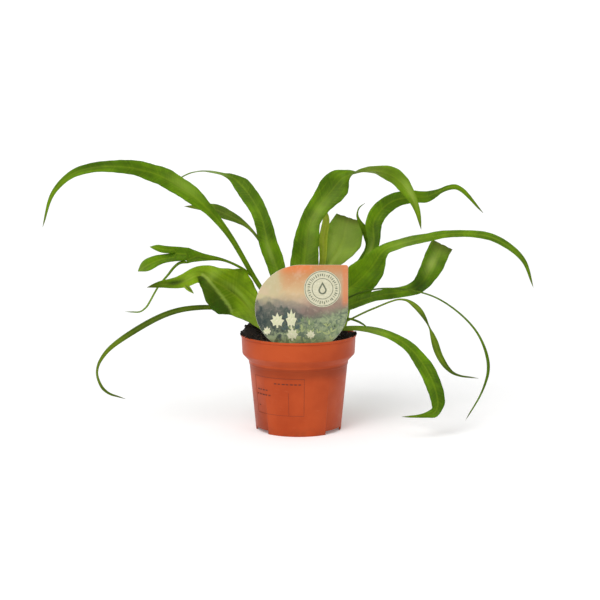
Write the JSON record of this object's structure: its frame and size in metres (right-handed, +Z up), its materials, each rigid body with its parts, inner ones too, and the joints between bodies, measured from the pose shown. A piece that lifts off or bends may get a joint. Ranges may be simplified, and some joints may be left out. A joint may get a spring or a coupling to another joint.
{
  "type": "potted fern",
  "caption": "Bird's nest fern with long arching strap fronds, in a round tapered nursery pot with soil and a plain plant label.",
  "frame": {"origin": "middle of the pot's underside, on the surface that the pot stands on", "axes": "+Z up, out of the pot; -Y towards the plant label; +X to the right when the label faces the viewer"},
  "size_m": [0.494, 0.271, 0.282],
  "materials": {
    "pot_plastic": "satin",
    "soil": "matte",
    "crown": "matte",
    "label_card": "satin",
    "frond": "satin",
    "young_frond": "satin"
  },
  "bodies": {
    "root": {"pot": "pot_plastic", "soil": "soil", "crown": "crown", "plant_label": "label_card", "frond_long_left": "frond", "frond_second_left": "frond", "frond_small_left": "frond", "frond_folded_left": "frond", "frond_low_left": "frond", "frond_forked_left": "frond", "frond_centre": "frond", "frond_blunt_back": "frond", "frond_young": "young_frond", "frond_curled": "frond", "frond_right_upper": "frond", "frond_long_right": "frond", "frond_kinked_right": "frond", "frond_thin_right": "frond", "frond_twisted_right": "frond", "frond_low_right": "frond", "frond_small_right": "frond", "frond_back_long": "frond", "frond_back_left": "frond", "frond_back_right": "frond"}
  },
  "joints": []
}
